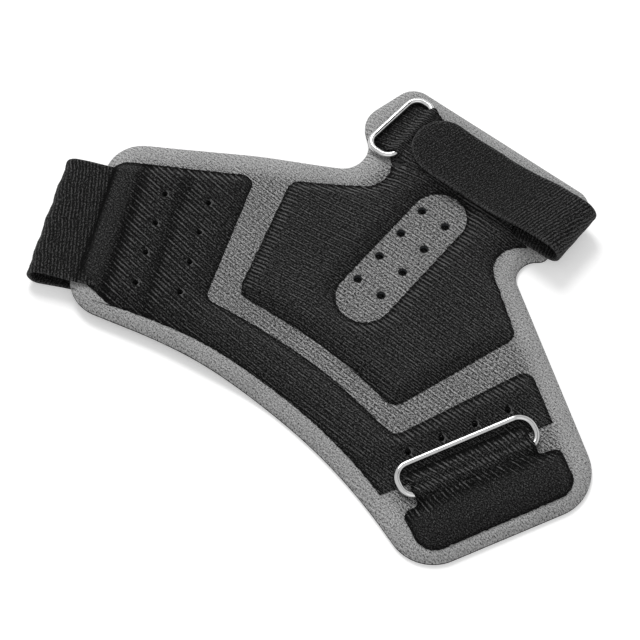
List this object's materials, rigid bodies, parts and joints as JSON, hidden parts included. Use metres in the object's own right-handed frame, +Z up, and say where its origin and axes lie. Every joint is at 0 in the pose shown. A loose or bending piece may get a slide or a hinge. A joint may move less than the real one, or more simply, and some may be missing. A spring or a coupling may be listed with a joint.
{
  "type": "wrist guard",
  "caption": "Soft wrist guard with raised pads, opened out flat, its hand strap and wide wrist strap folded away beside wire rings that they thread through.",
  "frame": {"origin": "middle of the footprint, on the table under the guard", "axes": "+Y along the arm towards the fingers, +X towards the wing that carries the wide ring, +Z up from the skin side to the outside"},
  "size_m": [0.2298, 0.1574, 0.0149],
  "materials": {
    "grey_knit": "brushed knit, matt",
    "black_knit": "brushed knit, matt",
    "elastic": "ribbed brushed elastic, matt",
    "hook_tape": "moulded hooks",
    "thread": "polyester thread",
    "foam": "closed-cell sponge",
    "plastic": "plain sheet",
    "steel_wire": "bright plated wire"
  },
  "bodies": {
    "body": {"inner_lining": "black_knit", "foam_core": "foam", "wrist_stay": "plastic", "outer_cover": "grey_knit", "hand_pad_cover": "black_knit", "hand_pad_foam": "foam", "wrist_pad_cover": "black_knit", "wrist_pad_foam": "foam", "ring_tab_cover": "black_knit", "ring_tab_foam": "foam", "wrist_ring_keeper": "elastic", "hand_ring_keeper": "elastic", "wrist_strap_root": "elastic", "wrist_strap_fold": "elastic", "hand_strap_root": "elastic", "hand_strap_fold": "elastic", "wrist_strap_stitching": "thread", "hand_strap_stitching": "thread"},
    "wrist_ring": {"wrist_ring": "steel_wire"},
    "hand_ring": {"hand_ring": "steel_wire"},
    "wrist_strap": {"wrist_strap_tail": "elastic", "wrist_strap_hook": "hook_tape"},
    "hand_strap": {"hand_strap_flap": "elastic", "hand_strap_hook": "hook_tape"}
  },
  "joints": [
    {"name": "wrist_ring_swing", "type": "hinge", "parent": "body", "child": "wrist_ring", "pos_m": [0.08045, -0.03717, 0.00515], "axis": [0.4368, 0.8996, 0], "range_deg": [0, 130]},
    {"name": "hand_ring_swing", "type": "hinge", "parent": "body", "child": "hand_ring", "pos_m": [-0.02185, 0.05973, 0.00525], "axis": [0, 1, 0], "range_deg": [0, 140]},
    {"name": "wrist_strap_unfold", "type": "hinge", "parent": "body", "child": "wrist_strap", "pos_m": [-0.10013, -0.05431, 0.00425], "axis": [-0.4368, 0.8996, 0], "range_deg": [0, 175], "deforming": ["wrist_strap_fold"]},
    {"name": "hand_strap_unfold", "type": "hinge", "parent": "body", "child": "hand_strap", "pos_m": [0.04714, 0.05973, 0.0095], "axis": [0, 1, 0], "range_deg": [0, 175], "deforming": ["hand_strap_fold"]}
  ]
}
